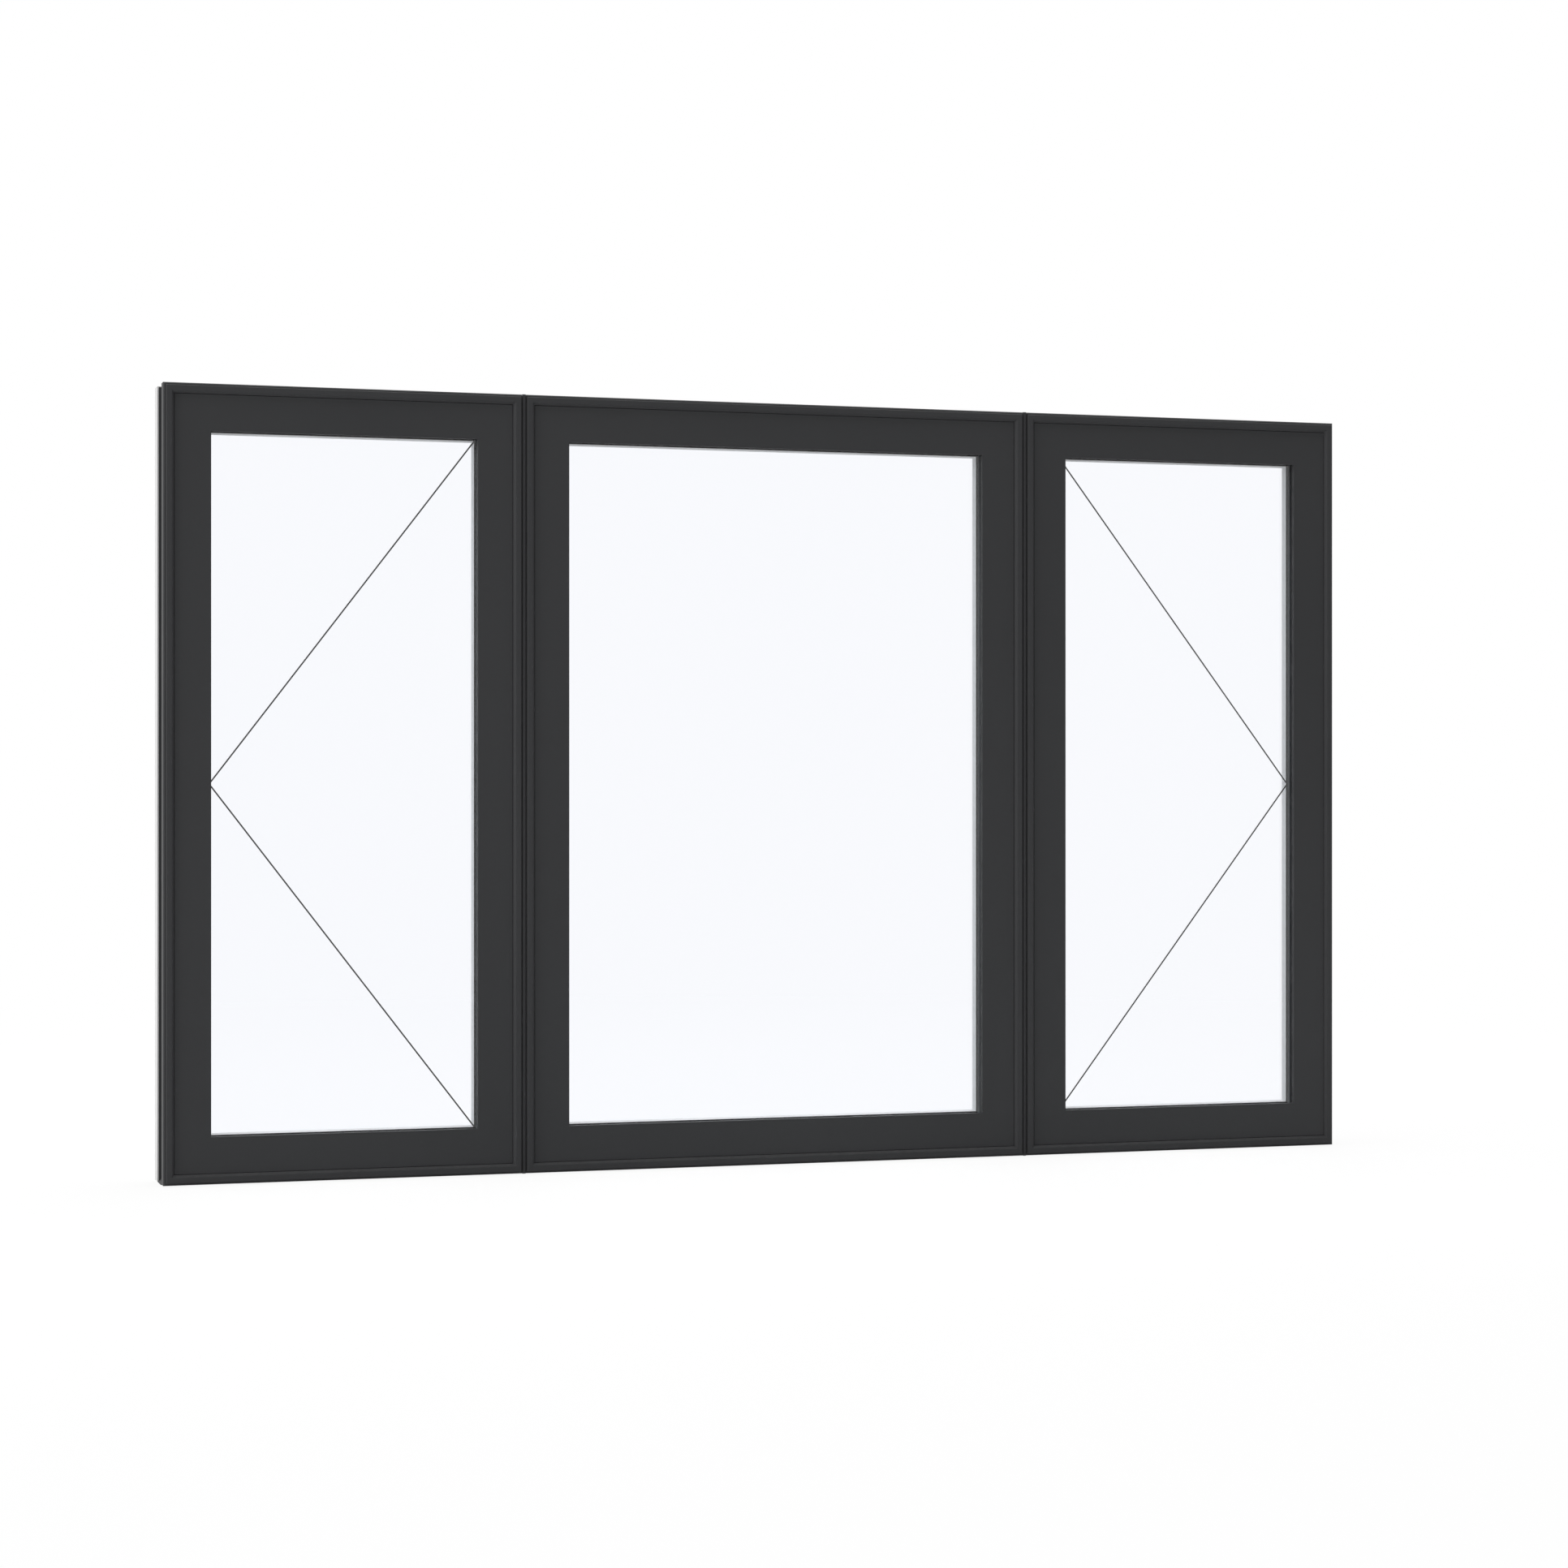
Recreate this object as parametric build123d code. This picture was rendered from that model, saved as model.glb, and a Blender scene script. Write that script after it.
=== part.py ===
"""Triple casement window: two crank-out casements either side of a fixed light.

Three complete window units stand side by side. Each unit has a dark outer frame, a white frame
lining, a dark outer sash, a white inner sash and a sealed double-glazed pane. Millimetres, +Z up.
X runs along the window, -Y is the weather side and +Y the room side. The origin lies on the
underside of the centre unit's sill, halfway through the depth of the frame.

Every section is drawn in two directions measured from its own unit: "inward" runs from the unit's
outer edge towards the glass, and "depth" runs from the frame's front face towards the room.
"""
import os

from build123d import *

# Overall sizes
SIDE_UNIT_WIDTH = 600.0
CENTRE_UNIT_WIDTH = 900.0
WINDOW_HEIGHT = 1310.0
FRAME_DEPTH = 116.0

# Dark outer frame, from its outer edge to the sash
CLADDING_DEPTH = 80.0
LIP_INSET = 1.0
LIP_WIDTH = 4.0
LIP_SETBACK = 5.0
LIP_BEVEL = 2.0
LIP_THICKNESS = 26.0
FACE_WIDTH = 9.2
FACE_EDGE = 1.0
REVEAL_WIDTH = 4.0
FIXING_GROOVE_DEPTH = 6.0
BACK_RIB_INSET = 2.0
BACK_RIB_THICKNESS = 6.0

# Strip in the joint between two units
JOINT_NOSE_PROUD = 2.4
JOINT_NOSE_ROUND = 1.6
SPLINE_PLAY = 0.5
SPLINE_DEPTH = 36.0

# White frame lining behind it
LINING_HEIGHT = 44.0
LINING_EDGE = 3.0
LINING_CORNER = 2.0

# Sash and its glazing rebate
SASH_FACE_SETBACK = 5.0
SASH_GAP = 0.5
SASH_FACE_WIDTH = 59.8
SASH_EDGE = 0.8
GLAZING_LEG = 9.0
GLASS_COVER = 14.5
REBATE_GAP = 2.0
INNER_SASH_DEPTH = 15.4
BEAD_NOSE = 2.2
BEAD_OVERHANG = 2.5
BEAD_EDGE = 1.5
STOP_CLEARANCE = 0.3

# Sealed glazing unit
PANE_THICKNESS = 4.0
CAVITY = 16.0
SPACER_HEIGHT = 7.5
SPACER_INSET = 0.5
GASKET_HEIGHT = 2.4
GASKET_THICKNESS = 2.5

# Crank operator on the lining's sill
OPERATOR_LENGTH = 150.0
OPERATOR_HEIGHT = 24.0
OPERATOR_TAPER = 18.0
OPERATOR_ROUND = 4.0
OPERATOR_FROM_HINGE = 210.0
OPERATOR_SASH_CLEARANCE = 5.6
CRANK_HUB_RADIUS = 8.5
CRANK_HUB_LENGTH = 9.0
CRANK_LENGTH = 78.0
CRANK_WIDTH = 13.0
CRANK_TIP_WIDTH = 9.0
CRANK_THICKNESS = 6.0
KNOB_RADIUS = 7.0
KNOB_LENGTH = 16.0

# Lock on the lining of the closing jamb
LOCK_HEIGHT = 430.0
LOCK_PLATE_LENGTH = 120.0
LOCK_PLATE_WIDTH = 22.0
LOCK_PLATE_THICKNESS = 8.0
LOCK_PLATE_ROUND = 2.0
LOCK_PIVOT_RADIUS = 9.0
LOCK_PIVOT_LENGTH = 8.0
LEVER_LENGTH = 95.0
LEVER_WIDTH = 17.0
LEVER_TIP_WIDTH = 12.0
LEVER_THICKNESS = 7.0

# Places worked out from the sizes above, all measured inward or in depth
FACE_START = LIP_INSET + LIP_WIDTH
FACE_END = FACE_START + FACE_WIDTH
FRAME_SIGHT = FACE_END + REVEAL_WIDTH
LIP_BACK = LIP_SETBACK + LIP_THICKNESS
SASH_START = FRAME_SIGHT + SASH_GAP
SASH_SIGHT = SASH_START + SASH_FACE_WIDTH
GLASS_EDGE = SASH_SIGHT - GLASS_COVER
REBATE_FLOOR = GLASS_EDGE - REBATE_GAP
GLASS_FRONT = SASH_FACE_SETBACK + GLAZING_LEG
CAVITY_FRONT = GLASS_FRONT + PANE_THICKNESS
CAVITY_BACK = CAVITY_FRONT + CAVITY
GLASS_BACK = CAVITY_BACK + PANE_THICKNESS
GASKET_START = SASH_SIGHT - GASKET_HEIGHT
GASKET_BACK = GLASS_BACK + GASKET_THICKNESS
SASH_BACK = GLASS_BACK + INNER_SASH_DEPTH
STOP_FRONT = SASH_BACK + STOP_CLEARANCE
OPERATOR_BACK = FRAME_DEPTH - LINING_EDGE
OPERATOR_WIDTH = OPERATOR_BACK - SASH_BACK - OPERATOR_SASH_CLEARANCE
FRONT_Y = -FRAME_DEPTH / 2
WINDOW_WIDTH = 2 * SIDE_UNIT_WIDTH + CENTRE_UNIT_WIDTH

UNITS = {
    "left": (-WINDOW_WIDTH / 2, SIDE_UNIT_WIDTH),
    "centre": (-CENTRE_UNIT_WIDTH / 2, CENTRE_UNIT_WIDTH),
    "right": (CENTRE_UNIT_WIDTH / 2, SIDE_UNIT_WIDTH),
}
CASEMENTS = {"left": 1, "right": -1}


def section(outline, rounds=()):
    """Face of a bar's cross-section from (inward, depth) points; rounds holds (point, radius)."""
    points = [(depth, inward) for inward, depth in outline]
    face = make_face(Polyline(*points, close=True))
    for (inward, depth), radius in rounds:
        corner = Vector(depth, inward, 0)
        face = fillet(face.vertices().sort_by(lambda v: (Vector(v) - corner).length)[0], radius)
    return face


def frame_section(grooved):
    """Dark outer frame: lip, set-back shelf, flat face, bevelled reveal and a grooved outer side."""
    outer_side = [(0, CLADDING_DEPTH), (0, LIP_BACK), (LIP_INSET, LIP_BACK)]
    if grooved:
        groove_floor = LIP_INSET + FIXING_GROOVE_DEPTH
        outer_side = [
            (BACK_RIB_INSET, CLADDING_DEPTH),
            (BACK_RIB_INSET, CLADDING_DEPTH - BACK_RIB_THICKNESS),
            (groove_floor, CLADDING_DEPTH - BACK_RIB_THICKNESS),
            (groove_floor, LIP_BACK),
            (LIP_INSET, LIP_BACK),
        ]
    front = [
        (LIP_INSET, LIP_SETBACK + LIP_BEVEL),
        (LIP_INSET + LIP_BEVEL, LIP_SETBACK),
        (FACE_START, LIP_SETBACK),
        (FACE_START, FACE_EDGE),
        (FACE_START + FACE_EDGE, 0),
        (FACE_END, 0),
        (FRAME_SIGHT, SASH_FACE_SETBACK),
        (FRAME_SIGHT, CLADDING_DEPTH),
    ]
    return section(front + outer_side)


def lining_section():
    """White lining: wraps the back of the dark frame and forms the stop that the sash closes on."""
    outline = [
        (0, CLADDING_DEPTH),
        (FRAME_SIGHT, CLADDING_DEPTH),
        (FRAME_SIGHT, STOP_FRONT),
        (LINING_HEIGHT, STOP_FRONT),
        (LINING_HEIGHT, FRAME_DEPTH),
        (0, FRAME_DEPTH),
    ]
    rounds = [((LINING_HEIGHT, FRAME_DEPTH), LINING_EDGE), ((0, FRAME_DEPTH), LINING_CORNER)]
    return section(outline, rounds)


def sash_section():
    """Dark outer sash: broad flat face with a glazing leg in front of the glass rebate."""
    outline = [
        (SASH_START, SASH_FACE_SETBACK),
        (SASH_SIGHT, SASH_FACE_SETBACK),
        (SASH_SIGHT, GLASS_FRONT),
        (REBATE_FLOOR, GLASS_FRONT),
        (REBATE_FLOOR, GLASS_BACK),
        (SASH_START, GLASS_BACK),
    ]
    rounds = [((SASH_START, SASH_FACE_SETBACK), SASH_EDGE), ((SASH_SIGHT, SASH_FACE_SETBACK), SASH_EDGE)]
    return section(outline, rounds)


def inner_sash_section():
    """White inner sash: gasket seat behind the glass and a bead that slopes in towards the room."""
    outline = [
        (SASH_START, GLASS_BACK),
        (GASKET_START, GLASS_BACK),
        (GASKET_START, GASKET_BACK),
        (SASH_SIGHT, GASKET_BACK),
        (SASH_SIGHT, GASKET_BACK + BEAD_NOSE),
        (SASH_SIGHT + BEAD_OVERHANG, SASH_BACK),
        (SASH_START, SASH_BACK),
    ]
    return section(outline, [((SASH_SIGHT + BEAD_OVERHANG, SASH_BACK), BEAD_EDGE)])


def mitred_bar(profile, length):
    """Bar along +X with its inward side up, cut at 45 degrees at both ends."""
    bar = extrude(Plane.YZ * profile, amount=length)
    bar = split(bar, bisect_by=Plane(origin=(0, 0, 0), z_dir=(1, 0, -1)), keep=Keep.TOP)
    return split(bar, bisect_by=Plane(origin=(length, 0, 0), z_dir=(-1, 0, -1)), keep=Keep.TOP)


def four_sides(unit, profile, sill_profile=None):
    """Head, sill and two uprights of one section round a unit, in their places."""
    start, width = UNITS[unit]
    low = Pos(start, FRONT_Y, 0)
    high = Pos(start, FRONT_Y, WINDOW_HEIGHT)
    return {
        "sill": low * mitred_bar(sill_profile or profile, width),
        "head": high * Pos(width, 0, 0) * Rot(0, 180, 0) * mitred_bar(profile, width),
        "left": high * Rot(0, 90, 0) * mitred_bar(profile, WINDOW_HEIGHT),
        "right": low * Pos(width, 0, 0) * Rot(0, -90, 0) * mitred_bar(profile, WINDOW_HEIGHT),
    }


def unit_box(unit, inward, front, back):
    """Block that fills a unit inside the given inward distance, between two depths."""
    start, width = UNITS[unit]
    box = Box(width - 2 * inward, back - front, WINDOW_HEIGHT - 2 * inward)
    return Pos(start + width / 2, FRONT_Y + (front + back) / 2, WINDOW_HEIGHT / 2) * box


def unit_ring(unit, outside, inside, front, back):
    """Rectangular ring of a plain section, such as the spacer between the panes."""
    return unit_box(unit, outside, front, back) - unit_box(unit, inside, front, back)


def joint_strip(unit):
    """Strip that fills the joint between the lips of this unit and the next, on the spline that couples them."""
    start, width = UNITS[unit]
    nose = LIP_SETBACK - JOINT_NOSE_PROUD
    flank = LIP_INSET + LIP_BEVEL
    right_side = [
        (flank, nose),
        (flank, LIP_SETBACK),
        (LIP_INSET, LIP_SETBACK + LIP_BEVEL),
        (LIP_INSET, LIP_BACK),
    ]
    left_side = [(-across, depth) for across, depth in reversed(right_side)]
    section = make_face(Polyline(*right_side, *left_side, close=True))
    strip = extrude(section, amount=WINDOW_HEIGHT - 2 * LIP_INSET)
    strip = fillet(strip.edges().filter_by(Axis.Z).group_by(Axis.Y)[0], JOINT_NOSE_ROUND)
    groove_floor = LIP_INSET + FIXING_GROOVE_DEPTH
    spline = Box(2 * (groove_floor - SPLINE_PLAY), SPLINE_DEPTH, WINDOW_HEIGHT - 2 * groove_floor)
    strip = Pos(0, 0, LIP_INSET) * strip
    strip += Pos(0, LIP_BACK + SPLINE_DEPTH / 2, WINDOW_HEIGHT / 2) * spline
    return Pos(start + width, FRONT_Y, 0) * strip


def tapered_arm(length, width, tip_width, thickness):
    """Flat handle in XZ, thick along +Y, round at both ends and narrower at its tip."""
    outline = make_hull([
        *Circle(width / 2).edges(),
        *(Pos(length, 0) * Circle(tip_width / 2)).edges(),
    ])
    arm = extrude(Plane.XZ * make_face(outline), amount=-thickness)
    return fillet(arm.faces().sort_by(Axis.Y)[-1].edges(), thickness / 4)


def operator(unit, hinge_side):
    """Crank operator: tapered cover on the lining's sill, with its crank folded along the sill."""
    start, width = UNITS[unit]
    hinge_x = start if hinge_side > 0 else start + width
    centre = hinge_x + hinge_side * OPERATOR_FROM_HINGE
    back = FRONT_Y + OPERATOR_BACK
    outline = make_face(Polyline(
        (-OPERATOR_LENGTH / 2, 0),
        (OPERATOR_LENGTH / 2, 0),
        (OPERATOR_LENGTH / 2 - OPERATOR_TAPER, OPERATOR_HEIGHT),
        (-OPERATOR_LENGTH / 2 + OPERATOR_TAPER, OPERATOR_HEIGHT),
        close=True,
    ))
    cover = extrude(Plane.XZ * outline, amount=OPERATOR_WIDTH)
    upper = cover.edges().filter_by(lambda e: e.center().Z > OPERATOR_HEIGHT / 4)
    cover = fillet(upper, OPERATOR_ROUND)
    housing = Pos(centre, back, LINING_HEIGHT) * cover

    hub = extrude(Plane.XZ * Circle(CRANK_HUB_RADIUS), amount=-CRANK_HUB_LENGTH)
    arm = Pos(0, CRANK_HUB_LENGTH, 0) * tapered_arm(
        CRANK_LENGTH, CRANK_WIDTH, CRANK_TIP_WIDTH, CRANK_THICKNESS)
    knob = extrude(Plane.XZ * Circle(KNOB_RADIUS), amount=-KNOB_LENGTH)
    knob = fillet(knob.faces().sort_by(Axis.Y)[-1].edges(), KNOB_RADIUS / 3)
    knob = Pos(CRANK_LENGTH, CRANK_HUB_LENGTH + CRANK_THICKNESS / 2, 0) * knob
    crank = hub + arm + knob
    turned = crank if hinge_side > 0 else crank.mirror(Plane.YZ)
    hub_x = centre - hinge_side * CRANK_LENGTH / 2
    handle = Pos(hub_x, back, LINING_HEIGHT + OPERATOR_HEIGHT / 2) * turned
    return {"operator_housing": housing, "crank_handle": handle}


def lock(unit, hinge_side):
    """Lock lever on the lining of the jamb that the casement closes on."""
    start, width = UNITS[unit]
    closing_x = start + width if hinge_side > 0 else start
    centre = closing_x - hinge_side * LINING_HEIGHT / 2
    back = FRONT_Y + FRAME_DEPTH
    outline = SlotOverall(LOCK_PLATE_LENGTH, LOCK_PLATE_WIDTH, rotation=90)
    plate = extrude(Plane.XZ * outline, amount=-LOCK_PLATE_THICKNESS)
    plate = fillet(plate.faces().sort_by(Axis.Y)[-1].edges(), LOCK_PLATE_ROUND)
    pivot = extrude(Plane.XZ * Circle(LOCK_PIVOT_RADIUS), amount=-LOCK_PIVOT_LENGTH)
    arm = tapered_arm(LEVER_LENGTH, LEVER_WIDTH, LEVER_TIP_WIDTH, LEVER_THICKNESS)
    lever = pivot + Pos(0, LOCK_PIVOT_LENGTH, 0) * Rot(0, 90, 0) * arm
    place = Pos(centre, back, LOCK_HEIGHT)
    lever_place = place * Pos(0, LOCK_PLATE_THICKNESS, LOCK_PLATE_LENGTH / 4)
    return {"lock_plate": place * plate, "lock_lever": lever_place * lever}


def window_unit(unit):
    """All pieces of one unit by node name, without its hardware."""
    frame = four_sides(unit, frame_section(True), frame_section(False))
    lining = four_sides(unit, lining_section())
    sash = four_sides(unit, sash_section())
    inner = four_sides(unit, inner_sash_section())
    spacer = unit_ring(
        unit, GLASS_EDGE + SPACER_INSET, GLASS_EDGE + SPACER_INSET + SPACER_HEIGHT, CAVITY_FRONT, CAVITY_BACK)
    gasket = unit_ring(unit, GASKET_START, SASH_SIGHT, GLASS_BACK, GASKET_BACK)
    outer_pane = unit_box(unit, GLASS_EDGE, GLASS_FRONT, CAVITY_FRONT)
    inner_pane = unit_box(unit, GLASS_EDGE, CAVITY_BACK, GLASS_BACK)
    return {
        "frame_head": [frame["head"]],
        "frame_sill": [frame["sill"]],
        "frame_left_jamb": [frame["left"]],
        "frame_right_jamb": [frame["right"]],
        "lining_rails": [lining["head"], lining["sill"]],
        "lining_jambs": [lining["left"], lining["right"]],
        "sash_rails": [sash["head"], sash["sill"]],
        "sash_stiles": [sash["left"], sash["right"]],
        "inner_sash_rails": [inner["head"], inner["sill"]],
        "inner_sash_stiles": [inner["left"], inner["right"]],
        "glass_panes": [outer_pane, inner_pane],
        "spacer_and_gasket": [spacer, gasket],
    }


def main():
    """Write every piece to its own file."""
    os.makedirs("parts", exist_ok=True)
    nodes = {}
    for unit in UNITS:
        for piece, solids in window_unit(unit).items():
            nodes[f"{unit}_{piece}"] = solids
    for unit, hinge_side in CASEMENTS.items():
        for piece, solid in {**operator(unit, hinge_side), **lock(unit, hinge_side)}.items():
            nodes[f"{unit}_{piece}"] = [solid]
    nodes["joint_strips"] = [joint_strip("left"), joint_strip("centre")]
    for name, solids in nodes.items():
        bodies = [body for shape in solids for body in shape.solids()]
        export_step(Compound(bodies), f"parts/{name}.step")


main()
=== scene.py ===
"""Looks of a triple casement window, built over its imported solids.

Two outward-opening casements stand either side of a fixed light. The bars are powder-coated dark
outside and satin white on the room side, round sealed double glazing. Metres, +Z up, -Y is the
weather side. The solids keep their shape; this file gives them their finishes and adds the small
pieces that the solids leave out: weather seals, opening symbols and screws.
"""
import logging
import math
from dataclasses import dataclass, field
from enum import Enum
from typing import Callable, Iterable, Sequence

import bpy
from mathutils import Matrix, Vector


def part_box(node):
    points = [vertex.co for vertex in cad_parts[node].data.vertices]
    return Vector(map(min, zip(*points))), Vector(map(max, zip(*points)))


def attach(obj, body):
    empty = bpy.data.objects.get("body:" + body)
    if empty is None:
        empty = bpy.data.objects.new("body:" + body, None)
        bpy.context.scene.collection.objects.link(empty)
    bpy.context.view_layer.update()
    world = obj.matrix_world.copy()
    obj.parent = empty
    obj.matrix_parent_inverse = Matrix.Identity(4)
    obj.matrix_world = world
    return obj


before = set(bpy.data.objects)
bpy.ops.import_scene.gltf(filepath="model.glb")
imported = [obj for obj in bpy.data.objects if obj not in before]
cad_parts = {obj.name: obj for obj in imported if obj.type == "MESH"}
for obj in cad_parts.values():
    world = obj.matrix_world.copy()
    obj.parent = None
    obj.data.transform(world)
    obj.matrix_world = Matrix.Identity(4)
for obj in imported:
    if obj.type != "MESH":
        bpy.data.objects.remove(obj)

LOG = logging.getLogger("window")
BODY = "root"
VALUE = "NodeSocketFloat"
VECTOR = "NodeSocketVector"
WHITE = (1.0, 1.0, 1.0, 1.0)
Point = tuple[float, float, float]
Colour = tuple[float, float, float]

# Places of the colour sockets on a Mix node, whose names repeat for each data type
COLOUR_A = 6
COLOUR_B = 7
COLOUR_RESULT = 2

# Middle span of a noise, over which a finish goes from its first to its second value
NOISE_LOW = 0.3
NOISE_HIGH = 0.7

# Upward part of a face's normal at which the dust and painted top light start, and at which they are full
LEDGE_LEAST = 0.55
LEDGE_FULL = 0.95


class UnitName(Enum):
    """The three window units, seen from outside."""

    LEFT = "left"
    CENTRE = "centre"
    RIGHT = "right"


class HingeEdge(Enum):
    """The edge that a casement turns about, as a direction along X."""

    LEFT = -1
    RIGHT = 1


class Slot(Enum):
    """The record's material slot names for the added pieces."""

    SEAL = "black_seal"
    HARDWARE = "white_hardware"


@dataclass(frozen=True)
class BarSizes:
    """Distances on the bars' sections that the added pieces seat on.

    Inward sizes run from a unit's outer edge towards the glass, depths from the frame's front face.
    """

    frame_sight: float = 0.0182
    sash_start: float = 0.0187
    sash_sight: float = 0.0785
    cavity_back: float = 0.034
    seal_depth: float = 0.012


BARS = BarSizes()


# Shader tools

class Shading:
    """A node tree of one material or group, with short calls to add nodes and join them."""

    def __init__(self, tree: bpy.types.NodeTree) -> None:
        """Keep the tree that the calls below work on."""
        self.tree = tree

    def add(self, kind: str, settings: dict | None = None, **inputs: object) -> bpy.types.Node:
        """Add a node.

        Args:
            kind: Blender's name for the node.
            settings: The node's own properties.
            inputs: Input values by socket name with _ for a space; a socket is joined, not copied.

        Returns:
            The new node.
        """
        node = self.tree.nodes.new(kind)
        for key, value in (settings or {}).items():
            setattr(node, key, value)
        for key, value in inputs.items():
            self.put(node.inputs[key.replace("_", " ")], value)
        return node

    def put(self, socket: bpy.types.NodeSocket, value: object) -> None:
        """Join an output to a socket, or set the socket to a plain value."""
        if isinstance(value, bpy.types.NodeSocket):
            self.tree.links.new(value, socket)
        else:
            socket.default_value = value

    def multiply(self, first: object, second: object) -> bpy.types.NodeSocket:
        """Product of two values or sockets, as an output socket."""
        product = self.add("ShaderNodeMath", {"operation": "MULTIPLY"})
        self.put(product.inputs[0], first)
        self.put(product.inputs[1], second)
        return product.outputs["Value"]

    def blend(self, share: bpy.types.NodeSocket, first: object, second: object) -> bpy.types.NodeSocket:
        """Mix two colours.

        Args:
            share: How much of the second colour shows.
            first: Colour or socket at a share of 0.
            second: Colour or socket at a share of 1.

        Returns:
            The mixed colour's output socket.
        """
        mix = self.add("ShaderNodeMix", {"data_type": "RGBA"}, Factor=share)
        self.put(mix.inputs[COLOUR_A], first)
        self.put(mix.inputs[COLOUR_B], second)
        return mix.outputs[COLOUR_RESULT]

    def choose(
        self, share: bpy.types.NodeSocket, first: bpy.types.NodeSocket, second: bpy.types.NodeSocket,
    ) -> bpy.types.NodeSocket:
        """Mix two shaders.

        Args:
            share: How much of the second shader shows.
            first: Shader at a share of 0.
            second: Shader at a share of 1.

        Returns:
            The mixed shader's output socket.
        """
        mix = self.add("ShaderNodeMixShader", Fac=share)
        self.put(mix.inputs[1], first)
        self.put(mix.inputs[2], second)
        return mix.outputs["Shader"]


def fresh_material(name: str) -> tuple[bpy.types.Material, Shading]:
    """An empty node material with the calls that fill it."""
    material = bpy.data.materials.new(name)
    material.use_nodes = True
    material.node_tree.nodes.clear()
    return material, Shading(material.node_tree)


def shader_group(
    name: str,
    inputs: Sequence[tuple[str, str]],
    outputs: Sequence[tuple[str, str]],
    fill: Callable[[Shading, bpy.types.Node], dict[str, bpy.types.NodeSocket]],
) -> bpy.types.NodeTree:
    """Make a shader node group, or give back the one already made.

    Args:
        name: The group's name.
        inputs: Socket names and socket types, in order.
        outputs: Socket names and socket types, in order.
        fill: Adds the inner nodes and gives each output's source by name.

    Returns:
        The group's node tree.
    """
    if name in bpy.data.node_groups:
        return bpy.data.node_groups[name]
    tree = bpy.data.node_groups.new(name, "ShaderNodeTree")
    for label, kind in inputs:
        tree.interface.new_socket(label, in_out="INPUT", socket_type=kind)
    for label, kind in outputs:
        tree.interface.new_socket(label, in_out="OUTPUT", socket_type=kind)
    shading = Shading(tree)
    entry = shading.add("NodeGroupInput")
    leave = shading.add("NodeGroupOutput")
    for label, socket in fill(shading, entry).items():
        tree.links.new(socket, leave.inputs[label])
    return tree


def sprayed_coat_group() -> bpy.types.NodeTree:
    """Group for a sprayed or moulded skin: fine grain, its soft waves and a broad drift of tone."""

    def fill(shading: Shading, entry: bpy.types.Node) -> dict[str, bpy.types.NodeSocket]:
        """Add the three noises and mix the fine two into one height."""
        grain = shading.add(
            "ShaderNodeTexNoise", Vector=entry.outputs["Vector"], Scale=entry.outputs["Grain Scale"],
            Detail=3.0, Roughness=0.55)
        waves = shading.add(
            "ShaderNodeTexNoise", Vector=entry.outputs["Vector"], Scale=entry.outputs["Wave Scale"],
            Detail=1.0, Roughness=0.4)
        drift = shading.add(
            "ShaderNodeTexNoise", Vector=entry.outputs["Vector"], Scale=entry.outputs["Drift Scale"],
            Detail=2.0, Roughness=0.5)
        height = shading.add(
            "ShaderNodeMix", {"data_type": "FLOAT"}, Factor=entry.outputs["Wave Share"],
            A=grain.outputs["Fac"], B=waves.outputs["Fac"])
        return {
            "Height": height.outputs["Result"],
            "Grain": grain.outputs["Fac"],
            "Drift": drift.outputs["Fac"],
        }

    return shader_group(
        "sprayed_coat",
        [("Vector", VECTOR), ("Grain Scale", VALUE), ("Wave Scale", VALUE), ("Wave Share", VALUE),
         ("Drift Scale", VALUE)],
        [("Height", VALUE), ("Grain", VALUE), ("Drift", VALUE)],
        fill)


def dust_and_top_light_group() -> bpy.types.NodeTree:
    """Group for faint dust on ledges which face up, which also paints them lighter as light from above
    would.
    """

    def fill(shading: Shading, entry: bpy.types.Node) -> dict[str, bpy.types.NodeSocket]:
        """Mask upward faces and break the mask up with a noise."""
        normal = shading.add("ShaderNodeNewGeometry").outputs["Normal"]
        facing = shading.add("ShaderNodeSeparateXYZ", Vector=normal)
        upward = shading.add(
            "ShaderNodeMapRange", {"interpolation_type": "SMOOTHSTEP"}, Value=facing.outputs["Z"],
            From_Min=LEDGE_LEAST, From_Max=LEDGE_FULL)
        patches = shading.add(
            "ShaderNodeTexNoise", Vector=entry.outputs["Vector"], Scale=entry.outputs["Patch Scale"],
            Detail=4.0, Roughness=0.6)
        spread = shading.add(
            "ShaderNodeMapRange", Value=patches.outputs["Fac"], From_Min=NOISE_LOW, From_Max=NOISE_HIGH)
        # this mask lightens upward faces: part dust, part painted light from above
        dust_and_light_patches = shading.multiply(upward.outputs["Result"], spread.outputs["Result"])
        return {"Dust And Top Light": shading.multiply(dust_and_light_patches, entry.outputs["Amount"])}

    return shader_group(
        "dust_and_painted_top_light",
        [("Vector", VECTOR), ("Patch Scale", VALUE), ("Amount", VALUE)],
        [("Dust And Top Light", VALUE)],
        fill)


def rgba(colour: Colour) -> tuple[float, float, float, float]:
    """A colour with full alpha, as sockets take it."""
    return (*colour, 1.0)


# Finishes

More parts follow.
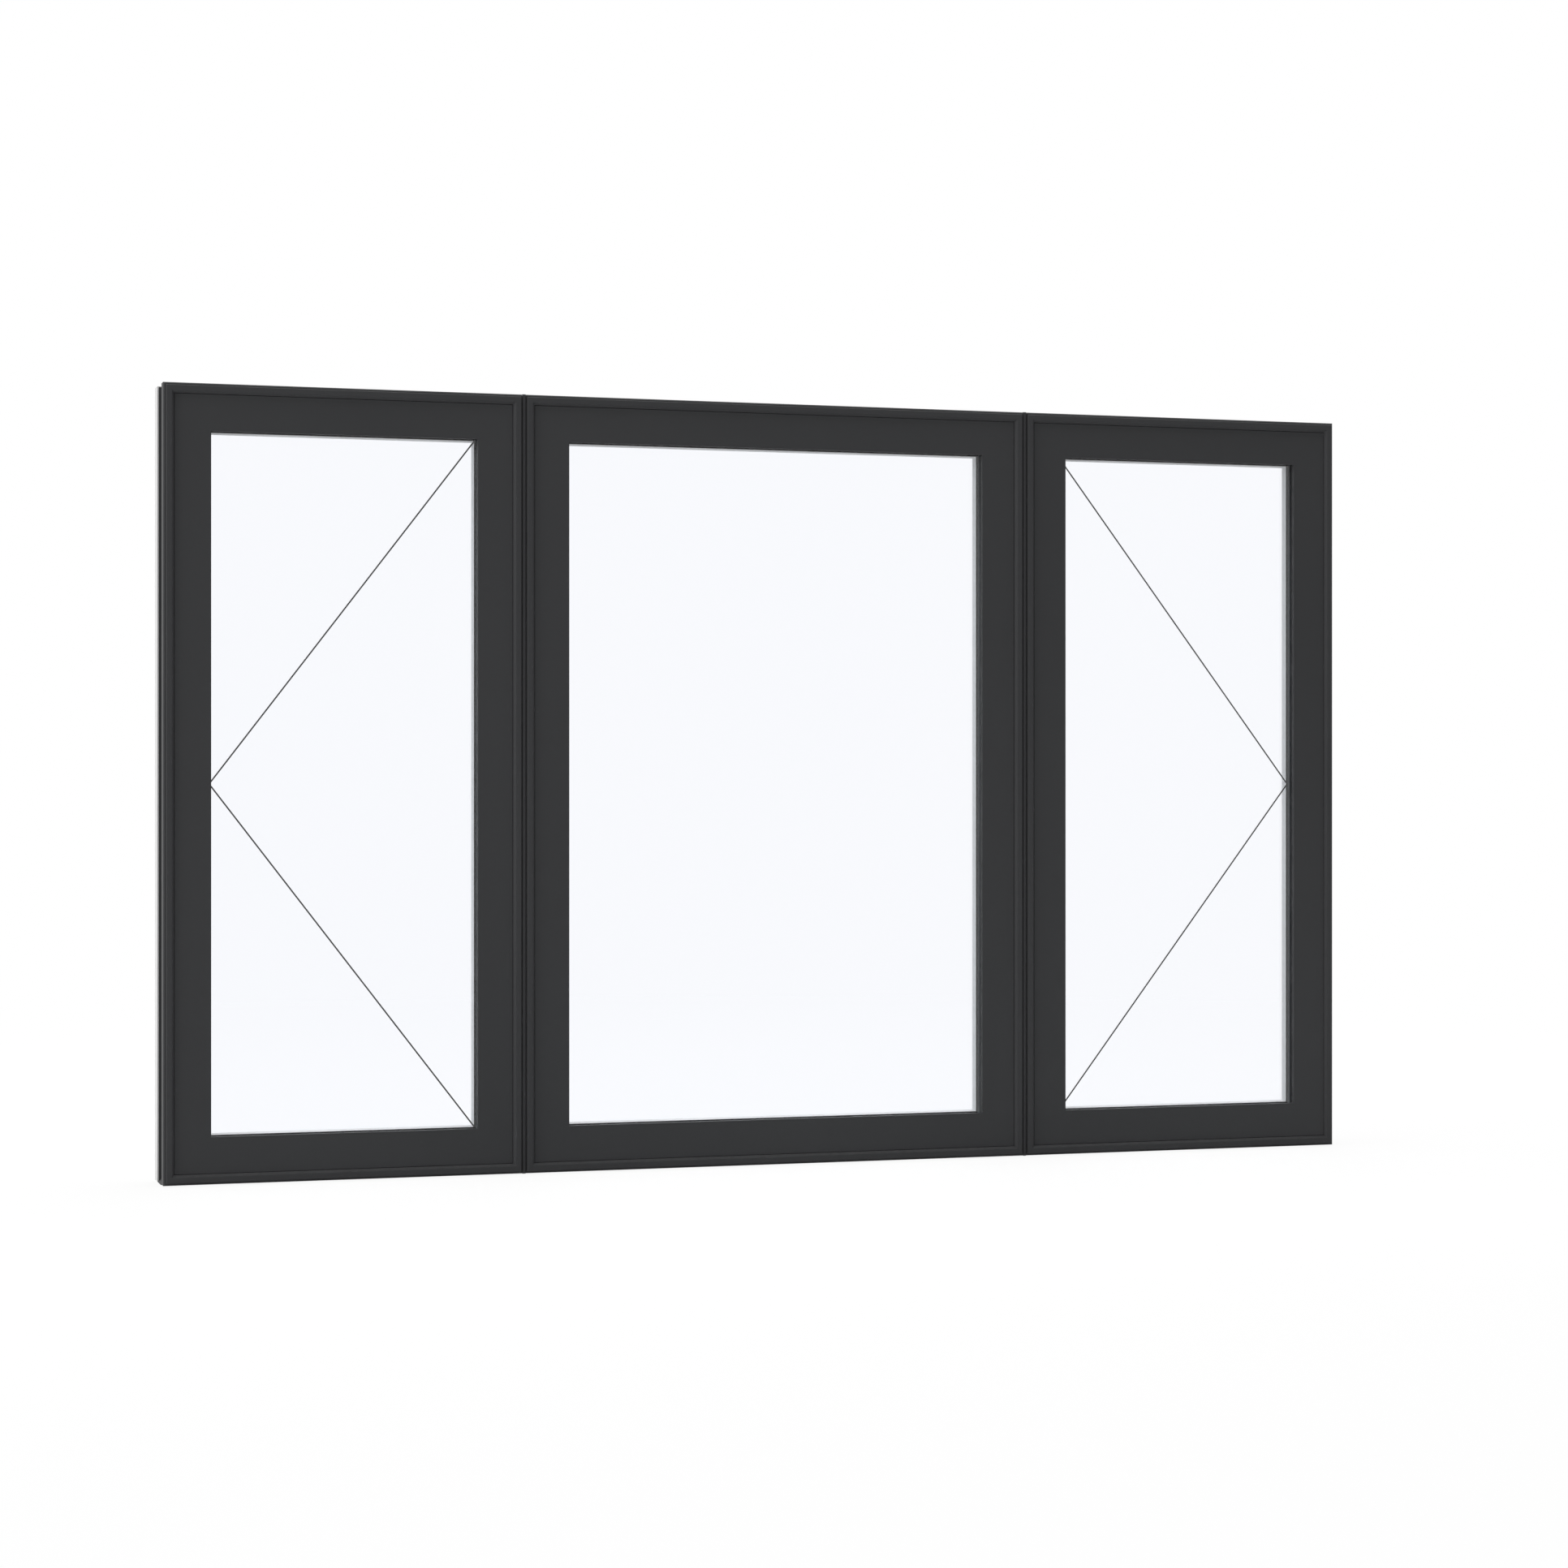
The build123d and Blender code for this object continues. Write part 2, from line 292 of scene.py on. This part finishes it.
@dataclass(frozen=True)
class CoatedFinish:
    """An opaque skin: a powder coat, a moulded plastic, rubber or enamel."""

    name: str
    tone: Colour
    second_tone: Colour
    roughness: tuple[float, float]
    specular: float
    grain_scale: float
    wave_scale: float
    wave_share: float
    drift_scale: float
    bump: float
    bump_distance: float
    # dust on upward faces, which also stands in for light from above as a painted lighter top
    dust_and_top_light: float = 0.0
    dust_and_top_light_tone: Colour = (0.45, 0.44, 0.42)
    dust_and_top_light_patch_scale: float = 90.0
    metallic: float = 0.0
    coat: float = 0.0

    def material(self) -> bpy.types.Material:
        """Build the finish, or give back the one already built.

        Returns:
            The material.
        """
        if self.name in bpy.data.materials:
            return bpy.data.materials[self.name]
        material, shading = fresh_material(self.name)
        place = shading.add("ShaderNodeTexCoord").outputs["Object"]
        skin = shading.add(
            "ShaderNodeGroup", {"node_tree": sprayed_coat_group()}, Vector=place,
            Grain_Scale=self.grain_scale, Wave_Scale=self.wave_scale, Wave_Share=self.wave_share,
            Drift_Scale=self.drift_scale)
        colour = self.colour(shading, place, skin)
        rough = shading.add(
            "ShaderNodeMapRange", Value=skin.outputs["Grain"], From_Min=NOISE_LOW, From_Max=NOISE_HIGH,
            To_Min=self.roughness[0], To_Max=self.roughness[1])
        bump = shading.add(
            "ShaderNodeBump", Height=skin.outputs["Height"], Strength=self.bump,
            Distance=self.bump_distance)
        shader = shading.add(
            "ShaderNodeBsdfPrincipled", Base_Color=colour, Roughness=rough.outputs["Result"],
            Normal=bump.outputs["Normal"], Specular_IOR_Level=self.specular, Metallic=self.metallic,
            Coat_Weight=self.coat)
        shading.add("ShaderNodeOutputMaterial", Surface=shader.outputs["BSDF"])
        return material

    def colour(
        self, shading: Shading, place: bpy.types.NodeSocket, skin: bpy.types.Node,
    ) -> bpy.types.NodeSocket:
        """Mix the two tones over the surface, with dust and a painted lighter top on upward ledges where
        the finish has any.

        Args:
            shading: The material's tree.
            place: Object coordinates.
            skin: The sprayed coat group's node.

        Returns:
            The colour's output socket.
        """
        share = shading.add(
            "ShaderNodeMapRange", Value=skin.outputs["Drift"], From_Min=NOISE_LOW, From_Max=NOISE_HIGH)
        tones = shading.blend(share.outputs["Result"], rgba(self.tone), rgba(self.second_tone))
        if not self.dust_and_top_light:
            return tones
        # lighten upward faces towards the dust tone: part dust, part painted top light
        dust_and_top_light = shading.add(
            "ShaderNodeGroup", {"node_tree": dust_and_top_light_group()}, Vector=place,
            Patch_Scale=self.dust_and_top_light_patch_scale, Amount=self.dust_and_top_light)
        return shading.blend(dust_and_top_light.outputs["Dust And Top Light"], tones, rgba(self.dust_and_top_light_tone))


@dataclass(frozen=True)
class GlassFinish:
    """Clear float glass that lets the lamps through to what stands behind it."""

    name: str
    tint: Colour
    second_tint: Colour
    lamp_tint: Colour
    ior: float
    drift_scale: float

    def material(self) -> bpy.types.Material:
        """Build the finish, or give back the one already built.

        Returns:
            The material.
        """
        if self.name in bpy.data.materials:
            return bpy.data.materials[self.name]
        material, shading = fresh_material(self.name)
        place = shading.add("ShaderNodeTexCoord").outputs["Object"]
        drift = shading.add("ShaderNodeTexNoise", Vector=place, Scale=self.drift_scale, Detail=1.0)
        tint = shading.blend(drift.outputs["Fac"], rgba(self.tint), rgba(self.second_tint))
        pane = shading.add(
            "ShaderNodeBsdfPrincipled", Base_Color=tint, Roughness=0.0, IOR=self.ior,
            Metallic=0.0, Transmission_Weight=1.0)
        clear = shading.add("ShaderNodeBsdfTransparent", Color=rgba(self.lamp_tint))
        path = shading.add("ShaderNodeLightPath")
        both = shading.choose(path.outputs["Is Shadow Ray"], pane.outputs["BSDF"], clear.outputs["BSDF"])
        shading.add("ShaderNodeOutputMaterial", Surface=both)
        return material


@dataclass(frozen=True)
class Finishes:
    """Every finish on the window."""

    # the dark coats' dust also paints their upward ledges lighter, standing in for light from above
    frame_coat: CoatedFinish = CoatedFinish(
        name="anthracite_frame_coat",
        tone=(0.0575, 0.0583, 0.0609), second_tone=(0.0617, 0.0625, 0.0651),
        roughness=(0.46, 0.56), specular=0.07,
        grain_scale=1400.0, wave_scale=330.0, wave_share=0.45, drift_scale=2.2,
        bump=0.10, bump_distance=0.00025, dust_and_top_light=0.05)
    sash_coat: CoatedFinish = CoatedFinish(
        name="anthracite_sash_coat",
        tone=(0.0568, 0.0576, 0.0602), second_tone=(0.0610, 0.0618, 0.0644),
        roughness=(0.48, 0.58), specular=0.07,
        grain_scale=1400.0, wave_scale=330.0, wave_share=0.45, drift_scale=1.7,
        bump=0.10, bump_distance=0.00025, dust_and_top_light=0.05)
    lining_white: CoatedFinish = CoatedFinish(
        name="satin_white_lining",
        tone=(0.79, 0.79, 0.785), second_tone=(0.82, 0.82, 0.815),
        roughness=(0.46, 0.56), specular=0.12,
        grain_scale=900.0, wave_scale=210.0, wave_share=0.5, drift_scale=2.6,
        bump=0.06, bump_distance=0.0002)
    sash_white: CoatedFinish = CoatedFinish(
        name="satin_white_sash",
        tone=(0.79, 0.79, 0.785), second_tone=(0.82, 0.82, 0.815),
        roughness=(0.44, 0.54), specular=0.16,
        grain_scale=900.0, wave_scale=210.0, wave_share=0.5, drift_scale=3.1,
        bump=0.06, bump_distance=0.0002)
    seal_rubber: CoatedFinish = CoatedFinish(
        name="black_seal_rubber",
        tone=(0.010, 0.010, 0.011), second_tone=(0.016, 0.016, 0.017),
        roughness=(0.62, 0.78), specular=0.2,
        grain_scale=2200.0, wave_scale=420.0, wave_share=0.3, drift_scale=9.0,
        bump=0.22, bump_distance=0.0002)
    hardware_enamel: CoatedFinish = CoatedFinish(
        name="white_hardware_enamel",
        tone=(0.74, 0.74, 0.735), second_tone=(0.77, 0.77, 0.765),
        roughness=(0.22, 0.30), specular=0.5,
        grain_scale=700.0, wave_scale=160.0, wave_share=0.7, drift_scale=12.0,
        bump=0.04, bump_distance=0.0002, coat=0.3)
    screw_steel: CoatedFinish = CoatedFinish(
        name="plated_screw_steel",
        tone=(0.55, 0.55, 0.54), second_tone=(0.66, 0.66, 0.65),
        roughness=(0.26, 0.40), specular=0.5,
        grain_scale=3200.0, wave_scale=900.0, wave_share=0.3, drift_scale=60.0,
        bump=0.12, bump_distance=0.0001, metallic=1.0)
    symbol_black: CoatedFinish = CoatedFinish(
        name="symbol_black_print",
        tone=(0.004, 0.004, 0.004), second_tone=(0.009, 0.009, 0.009),
        roughness=(0.75, 0.9), specular=0.1,
        grain_scale=1800.0, wave_scale=400.0, wave_share=0.2, drift_scale=20.0,
        bump=0.05, bump_distance=0.0001)
    glass: GlassFinish = GlassFinish(
        name="clear_float_glass",
        tint=(0.964, 0.972, 0.992), second_tint=(0.976, 0.980, 0.993), lamp_tint=(0.93, 0.95, 0.96),
        ior=1.45, drift_scale=0.9)


# Geometry Nodes tools

# Steps round a strip's bent corner and round the corner of its section
BEND_STEPS = 6
ROUND_STEPS = 4

# A screw head: facets, rings up its side, and shares of its radius
HEAD_SIDES = 28
HEAD_RINGS = 3
HEAD_CROWN = 0.62
RECESS_REACH = 0.95
RECESS_BLADE = 0.22


@dataclass(frozen=True)
class NodeShape:
    """A geometry node tree with the identifiers of its named inputs."""

    tree: bpy.types.NodeTree
    inputs: dict[str, str]

    def realise(self, name: str, guide: bpy.types.Object, values: dict[str, object]) -> bpy.types.Object:
        """Run the tree on a guide and keep the result as a plain mesh piece.

        Args:
            name: The new piece's name.
            guide: Path or points that the tree reads; it is removed afterwards.
            values: The tree's inputs by name.

        Returns:
            The new piece at the origin.
        """
        modifier = guide.modifiers.new(name, "NODES")
        modifier.node_group = self.tree
        for label, value in values.items():
            modifier[self.inputs[label]] = value
        graph = bpy.context.evaluated_depsgraph_get()
        mesh = bpy.data.meshes.new_from_object(guide.evaluated_get(graph), depsgraph=graph)
        mesh.name = name
        guide.modifiers.remove(modifier)
        bpy.data.objects.remove(guide)
        piece = bpy.data.objects.new(name, mesh)
        bpy.context.scene.collection.objects.link(piece)
        return piece


def geometry_tree(
    name: str,
    inputs: Sequence[tuple[str, str]],
    fill: Callable[[Shading, bpy.types.Node], bpy.types.NodeSocket],
) -> NodeShape:
    """Make a geometry node tree that ends in realised instances with a material.

    Args:
        name: The tree's name.
        inputs: Names and socket types of its sizes, after the geometry.
        fill: Adds the inner nodes and gives the geometry to finish.

    Returns:
        The tree with its inputs' identifiers.
    """
    tree = bpy.data.node_groups.new(name, "GeometryNodeTree")
    tree.interface.new_socket("Geometry", in_out="INPUT", socket_type="NodeSocketGeometry")
    known = {}
    for label, kind in [*inputs, ("Material", "NodeSocketMaterial")]:
        known[label] = tree.interface.new_socket(label, in_out="INPUT", socket_type=kind).identifier
    tree.interface.new_socket("Geometry", in_out="OUTPUT", socket_type="NodeSocketGeometry")
    nodes = Shading(tree)
    entry = nodes.add("NodeGroupInput")
    shape = fill(nodes, entry)
    whole = nodes.add("GeometryNodeRealizeInstances", Geometry=shape)
    dressed = nodes.add(
        "GeometryNodeSetMaterial", Geometry=whole.outputs["Geometry"], Material=entry.outputs["Material"])
    nodes.add("NodeGroupOutput", Geometry=dressed.outputs["Geometry"])
    return NodeShape(tree, known)


def strip_tree() -> NodeShape:
    """Tree that runs a strip of round-cornered section along a path in the plane of the window."""

    def fill(nodes: Shading, entry: bpy.types.Node) -> bpy.types.NodeSocket:
        """Turn the path into a curve with bent corners and sweep the section along it."""
        path = nodes.add("GeometryNodeMeshToCurve", Mesh=entry.outputs["Geometry"])
        bent = nodes.add(
            "GeometryNodeFilletCurve", {"mode": "POLY"}, Curve=path.outputs["Curve"], Count=BEND_STEPS,
            Radius=entry.outputs["Bend"], Limit_Radius=True)
        level = nodes.add(
            "GeometryNodeSetCurveNormal", {"mode": "FREE"}, Curve=bent.outputs["Curve"],
            Normal=(0.0, 1.0, 0.0))
        flat = nodes.add(
            "GeometryNodeCurvePrimitiveQuadrilateral", Width=entry.outputs["Depth"],
            Height=entry.outputs["Width"])
        section = nodes.add(
            "GeometryNodeFilletCurve", {"mode": "POLY"}, Curve=flat.outputs["Curve"], Count=ROUND_STEPS,
            Radius=entry.outputs["Round"], Limit_Radius=True)
        swept = nodes.add(
            "GeometryNodeCurveToMesh", Curve=level.outputs["Curve"], Profile_Curve=section.outputs["Curve"],
            Fill_Caps=True)
        return swept.outputs["Mesh"]

    sizes = [(label, VALUE) for label in ("Width", "Depth", "Round", "Bend")]
    return geometry_tree("strip_along_path", sizes, fill)


def screw_tree() -> NodeShape:
    """Tree that sets a low domed screw head with a cross recess on each point."""

    def fill(nodes: Shading, entry: bpy.types.Node) -> bpy.types.NodeSocket:
        """Make one head, cut its recess and set copies on the points."""
        radius = entry.outputs["Radius"]
        height = entry.outputs["Height"]
        head = nodes.add(
            "GeometryNodeMeshCone", Vertices=HEAD_SIDES, Side_Segments=HEAD_RINGS,
            Radius_Top=nodes.multiply(radius, HEAD_CROWN), Radius_Bottom=radius, Depth=height)
        reach = nodes.multiply(radius, RECESS_REACH)
        blade = nodes.multiply(radius, RECESS_BLADE)
        bars = []
        for along, across in ((reach, blade), (blade, reach)):
            size = nodes.add("ShaderNodeCombineXYZ", X=along, Y=across, Z=height)
            bar = nodes.add("GeometryNodeMeshCube", Size=size.outputs["Vector"])
            lift = nodes.add("ShaderNodeCombineXYZ", Z=height)
            bars.append(nodes.add(
                "GeometryNodeTransform", Geometry=bar.outputs["Mesh"], Translation=lift.outputs["Vector"]))
        cut = nodes.add("GeometryNodeMeshBoolean", {"operation": "DIFFERENCE"})
        nodes.put(cut.inputs["Mesh 1"], head.outputs["Mesh"])
        for bar in bars:
            nodes.tree.links.new(bar.outputs["Geometry"], cut.inputs["Mesh 2"])
        spots = nodes.add("GeometryNodeMeshToPoints", Mesh=entry.outputs["Geometry"])
        facing = nodes.add("FunctionNodeAlignRotationToVector", {"axis": "Z"}, Vector=entry.outputs["Axis"])
        heads = nodes.add(
            "GeometryNodeInstanceOnPoints", Points=spots.outputs["Points"], Instance=cut.outputs["Mesh"],
            Rotation=facing.outputs["Rotation"])
        return heads.outputs["Instances"]

    sizes = [("Radius", VALUE), ("Height", VALUE), ("Axis", VECTOR)]
    return geometry_tree("screw_heads", sizes, fill)


def carrier(points: Sequence[Point], closed: bool = False, joined: bool = True) -> bpy.types.Object:
    """Mesh of bare points for a geometry node tree to read.

    Args:
        points: The points in order.
        closed: Whether the last point runs back to the first.
        joined: Whether edges run from point to point.

    Returns:
        The carrier object.
    """
    count = len(points)
    edges = [(i, i + 1) for i in range(count - 1)] if joined else []
    if joined and closed:
        edges.append((count - 1, 0))
    mesh = bpy.data.meshes.new("carrier")
    mesh.from_pydata([tuple(p) for p in points], edges, [])
    obj = bpy.data.objects.new("carrier", mesh)
    bpy.context.scene.collection.objects.link(obj)
    return obj


def dress_node(name: str, finish: CoatedFinish | GlassFinish) -> None:
    """Give a solid its finish.

    Args:
        name: The solid's node name.
        finish: The finish it takes.
    """
    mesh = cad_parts[name].data
    mesh.materials.clear()
    mesh.materials.append(finish.material())
    LOG.info("dressed %s in %s", name, finish.name)


def add_piece(piece: bpy.types.Object) -> bpy.types.Object:
    """Fix a new piece to the window and log its size."""
    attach(piece, BODY)
    sizes = [1000.0 * value for value in piece.dimensions]
    LOG.info("added %s: %d faces, %.1f x %.1f x %.1f mm", piece.name, len(piece.data.polygons), *sizes)
    return piece


# Sub-assemblies

@dataclass
class Assembly:
    """Pieces of one window unit that belong together."""

    unit: UnitName
    finishes: Finishes

    def dress(self, pieces: Iterable[str], finish: CoatedFinish | GlassFinish) -> None:
        """Give a finish to this unit's solids.

        Args:
            pieces: Node names without the unit's name.
            finish: The finish they take.
        """
        for piece in pieces:
            dress_node(f"{self.unit.value}_{piece}", finish)

    def span(self) -> tuple[Vector, Vector]:
        """Lowest and highest corner of the whole unit, from its lining."""
        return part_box(f"{self.unit.value}_lining_rails")

    def front(self) -> float:
        """Y of the frame's front face."""
        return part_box(f"{self.unit.value}_frame_head")[0].y

    def ring(self, inward: float, depth: float) -> list[Point]:
        """Four corners of a rectangle inside the unit.

        Args:
            inward: Distance from the unit's outer edge.
            depth: Distance behind the frame's front face.

        Returns:
            The corners, from bottom left round to top left.
        """
        low, high = self.span()
        left, right = low.x + inward, high.x - inward
        bottom, top = low.z + inward, high.z - inward
        y = self.front() + depth
        return [(left, y, bottom), (right, y, bottom), (right, y, top), (left, y, top)]


@dataclass
class OuterFrame(Assembly):
    """Dark outer frame with the white lining behind it."""

    def build(self) -> None:
        """Dress the frame and its lining."""
        bars = ("frame_head", "frame_sill", "frame_left_jamb", "frame_right_jamb")
        self.dress(bars, self.finishes.frame_coat)
        self.dress(("lining_rails", "lining_jambs"), self.finishes.lining_white)


@dataclass
class Sash(Assembly):
    """Dark sash with its white room side and the weather seal round its edge."""

    seal_round: float = 0.0002
    seal_thickness: float = 0.004
    seal_bend: float = 0.003

    def build(self, strip: NodeShape) -> None:
        """Dress the sash and run the weather seal round it.

        Args:
            strip: Tree that sweeps a strip along a path.
        """
        self.dress(("sash_rails", "sash_stiles"), self.finishes.sash_coat)
        self.dress(("inner_sash_rails", "inner_sash_stiles"), self.finishes.sash_white)
        middle = (BARS.frame_sight + BARS.sash_start) / 2
        path = carrier(self.ring(middle, BARS.seal_depth), closed=True)
        seal = strip.realise(f"{self.unit.value}_weather_seal", path, {
            "Width": BARS.sash_start - BARS.frame_sight,
            "Depth": self.seal_thickness,
            "Round": self.seal_round,
            "Bend": self.seal_bend,
            "Material": self.finishes.seal_rubber.material(),
        })
        add_piece(seal)


@dataclass
class Glazing(Assembly):
    """Sealed double glazing with its black spacer and gasket."""

    def build(self) -> None:
        """Dress the panes and their seals."""
        self.dress(("glass_panes",), self.finishes.glass)
        self.dress(("spacer_and_gasket",), self.finishes.seal_rubber)


@dataclass
class OpeningSymbol(Assembly):
    """Two thin lines on the inner pane that meet on the hinge side of a casement."""

    hinge: HingeEdge = HingeEdge.LEFT
    line_width: float = 0.0025
    line_thickness: float = 0.0002
    line_bend: float = 0.002

    def build(self, strip: NodeShape) -> None:
        """Lay the lines from the closing corners to the middle of the hinge edge.

        Args:
            strip: Tree that sweeps a strip along a path.
        """
        low, _, high, _ = self.ring(BARS.sash_sight, BARS.cavity_back - self.line_thickness / 2)
        hinged, closing = (low[0], high[0]) if self.hinge is HingeEdge.LEFT else (high[0], low[0])
        middle = (low[2] + high[2]) / 2
        points = [(closing, low[1], high[2]), (hinged, low[1], middle), (closing, low[1], low[2])]
        lines = strip.realise(f"{self.unit.value}_opening_symbol", carrier(points), {
            "Width": self.line_width,
            "Depth": self.line_thickness,
            "Round": self.line_thickness / 8,
            "Bend": self.line_bend,
            "Material": self.finishes.symbol_black.material(),
        })
        add_piece(lines)


@dataclass
class Hardware(Assembly):
    """Crank operator and lock of a casement, with their screws."""

    screw_radius: float = 0.0032
    screw_height: float = 0.0012
    cover_screw_reach: float = 0.04
    plate_screw_inset: float = 0.009

    def build(self, screws: NodeShape) -> None:
        """Dress the hardware and set its screws.

        Args:
            screws: Tree that sets screw heads on points.
        """
        metalwork = ("operator_housing", "crank_handle", "lock_plate", "lock_lever")
        self.dress(metalwork, self.finishes.hardware_enamel)
        low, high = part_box(f"{self.unit.value}_operator_housing")
        middle = (low + high) / 2
        top = high.z + self.screw_height / 4
        spots = [(middle.x + side * self.cover_screw_reach, middle.y, top) for side in (-1, 1)]
        self.set_screws("operator_screws", screws, spots, (0.0, 0.0, 1.0))
        low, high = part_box(f"{self.unit.value}_lock_plate")
        middle = (low + high) / 2
        back = high.y + self.screw_height / 4
        heights = (low.z + self.plate_screw_inset, high.z - self.plate_screw_inset)
        spots = [(middle.x, back, z) for z in heights]
        self.set_screws("lock_screws", screws, spots, (0.0, 1.0, 0.0))

    def set_screws(self, name: str, screws: NodeShape, spots: Sequence[Point], axis: Point) -> None:
        """Set one screw head on each spot.

        Args:
            name: The piece's name without the unit's.
            screws: Tree that sets screw heads on points.
            spots: Middles of the heads.
            axis: Direction that the heads face.
        """
        heads = screws.realise(f"{self.unit.value}_{name}", carrier(spots, joined=False), {
            "Radius": self.screw_radius,
            "Height": self.screw_height,
            "Axis": axis,
            "Material": self.finishes.screw_steel.material(),
        })
        add_piece(heads)


# Studio

@dataclass(frozen=True)
class Lamp:
    """A soft area lamp."""

    name: str
    place: Point
    aim: Point
    width: float
    height: float
    power: float

    def build(self) -> None:
        """Add the lamp and turn it to its aim."""
        light = bpy.data.lights.new(self.name, "AREA")
        light.shape = "RECTANGLE"
        light.size = self.width
        light.size_y = self.height
        light.energy = self.power
        lamp = bpy.data.objects.new(self.name, light)
        bpy.context.scene.collection.objects.link(lamp)
        lamp.location = self.place
        direction = Vector(self.aim) - Vector(self.place)
        lamp.rotation_euler = direction.to_track_quat("-Z", "Y").to_euler()
        lamp.visible_camera = False
        LOG.info("lamp %s", self.name)


@dataclass
class Studio:
    """Pale floor, white surroundings, soft lamps and the camera."""

    image_side: float = 1932.0
    focal_pixels: float = 4070.0
    camera_place: Point = (-1.67498, -5.48037, 0.65494)
    camera_turn: float = 17.2218
    sensor: float = 36.0
    floor_half: float = 40.0
    floor_drop: float = 0.0004
    floor_tone: float = 0.80
    floor_glow: float = 0.896
    floor_shade: float = 0.11
    shadow_reach: tuple[float, float] = (1.6, 4.5)
    surround: float = 0.30
    lamps: tuple[Lamp, ...] = field(default_factory=lambda: (
        Lamp("side_lamp", (-6.2, -1.4, 1.4), (0.0, 0.0, 0.65), 3.0, 2.4, 115.0),
        Lamp("top_lamp", (0.0, 0.5, 7.0), (0.0, 0.5, 0.0), 9.0, 6.0, 400.0),
        Lamp("room_lamp", (1.8, 5.4, 3.6), (0.0, 0.0, 0.65), 4.0, 3.0, 80.0),
    ))

    def build(self) -> None:
        """Set up everything round the window."""
        scene = bpy.context.scene
        scene.view_settings.view_transform = "Standard"
        self.add_floor()
        self.add_surroundings()
        for lamp in self.lamps:
            lamp.build()
        self.add_camera()

    @staticmethod
    def seen_rays(shading: Shading) -> bpy.types.NodeSocket:
        """Factor that is 1 for rays from the camera, from gloss and through glass.

        Args:
            shading: The tree that takes the nodes.

        Returns:
            The factor's output socket.
        """
        path = shading.add("ShaderNodeLightPath")
        seen = path.outputs["Is Camera Ray"]
        for other in ("Is Glossy Ray", "Is Transmission Ray"):
            either = shading.add("ShaderNodeMath", {"operation": "MAXIMUM"})
            shading.put(either.inputs[0], seen)
            shading.put(either.inputs[1], path.outputs[other])
            seen = either.outputs["Value"]
        return seen

    def add_floor(self) -> None:
        """Lay the pale floor, which keeps the window's shadow and fades to white further off."""
        half = self.floor_half
        mesh = bpy.data.meshes.new("floor")
        corners = [(-half, -half), (half, -half), (half, half), (-half, half)]
        mesh.from_pydata([(x, y, -self.floor_drop) for x, y in corners], [], [(0, 1, 2, 3)])
        floor = bpy.data.objects.new("floor", mesh)
        bpy.context.scene.collection.objects.link(floor)
        material, shading = fresh_material("pale_floor")
        matt = shading.add("ShaderNodeBsdfDiffuse", Color=rgba((self.floor_tone,) * 3))
        glow = shading.add("ShaderNodeEmission", Color=WHITE, Strength=self.floor_glow)
        shade = shading.add("ShaderNodeBsdfDiffuse", Color=rgba((self.floor_shade,) * 3))
        shown = shading.add("ShaderNodeAddShader")
        shading.put(shown.inputs[0], glow.outputs["Emission"])
        shading.put(shown.inputs[1], shade.outputs["BSDF"])
        away = shading.add("ShaderNodeVectorMath", {"operation": "LENGTH"})
        shading.put(away.inputs[0], shading.add("ShaderNodeTexCoord").outputs["Object"])
        distance = shading.add(
            "ShaderNodeMapRange", {"interpolation_type": "SMOOTHSTEP"}, Value=away.outputs["Value"],
            From_Min=self.shadow_reach[0], From_Max=self.shadow_reach[1])
        white = shading.add("ShaderNodeEmission", Color=WHITE, Strength=1.0)
        faded = shading.choose(
            distance.outputs["Result"], shown.outputs["Shader"], white.outputs["Emission"])
        both = shading.choose(self.seen_rays(shading), matt.outputs["BSDF"], faded)
        shading.add("ShaderNodeOutputMaterial", Surface=both)
        mesh.materials.append(material)
        LOG.info("floor laid")

    def add_surroundings(self) -> None:
        """Surround the window with even light that shows as white."""
        world = bpy.data.worlds.new("studio")
        bpy.context.scene.world = world
        world.use_nodes = True
        world.node_tree.nodes.clear()
        shading = Shading(world.node_tree)
        soft = shading.add("ShaderNodeBackground", Color=WHITE, Strength=self.surround)
        white = shading.add("ShaderNodeBackground", Color=WHITE, Strength=1.0)
        both = shading.choose(
            self.seen_rays(shading), soft.outputs["Background"], white.outputs["Background"])
        shading.add("ShaderNodeOutputWorld", Surface=both)
        LOG.info("surroundings lit")

    def add_camera(self) -> None:
        """Stand the camera level with the middle of the window, to its left."""
        data = bpy.data.cameras.new("camera")
        data.sensor_fit = "HORIZONTAL"
        data.sensor_width = self.sensor
        data.lens = self.sensor * self.focal_pixels / self.image_side
        camera = bpy.data.objects.new("camera", data)
        bpy.context.scene.collection.objects.link(camera)
        camera.location = self.camera_place
        camera.rotation_euler = (math.radians(90.0), 0.0, math.radians(-self.camera_turn))
        bpy.context.scene.camera = camera
        LOG.info("camera set")


def main() -> None:
    """Dress the window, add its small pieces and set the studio."""
    logging.basicConfig(level=logging.INFO, format="%(name)s: %(message)s")
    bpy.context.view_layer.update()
    finishes = Finishes()
    strip = strip_tree()
    screws = screw_tree()
    for unit in UnitName:
        OuterFrame(unit, finishes).build()
        Sash(unit, finishes).build(strip)
        Glazing(unit, finishes).build()
    dress_node("joint_strips", finishes.frame_coat)
    for unit, hinge in ((UnitName.LEFT, HingeEdge.LEFT), (UnitName.RIGHT, HingeEdge.RIGHT)):
        OpeningSymbol(unit, finishes, hinge).build(strip)
        Hardware(unit, finishes).build(screws)
    Studio().build()


if __name__ == "__main__":
    main()
